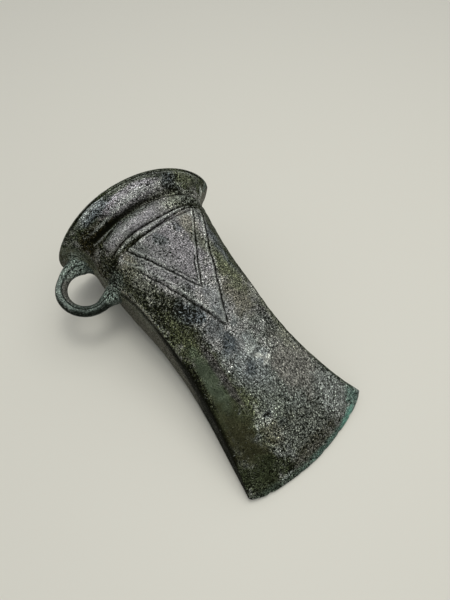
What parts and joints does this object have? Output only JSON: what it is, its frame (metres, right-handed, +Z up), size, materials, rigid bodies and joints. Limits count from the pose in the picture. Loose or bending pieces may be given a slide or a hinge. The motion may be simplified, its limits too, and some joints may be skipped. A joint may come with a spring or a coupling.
{
  "type": "socketed axe head",
  "caption": "Looped socketed axe head of cast bronze: a hollow oval mouth with a rounded collar, ribs across the neck, nested V ribs on the face, and a flared blade with a worn curved edge.",
  "frame": {"origin": "middle of the footprint, on the ground that the axe lies on", "axes": "+Z up, out of the decorated face; +Y along the axe from the cutting edge to the socket mouth; the side loop is at -X"},
  "size_m": [0.082, 0.13, 0.0586],
  "materials": {
    "patinated_bronze": "dull brown-grey patina with green verdigris, finely pitted, worn to a soft sheen on the raised parts"
  },
  "bodies": {
    "root": {"axe_head": "patinated_bronze"}
  },
  "joints": []
}
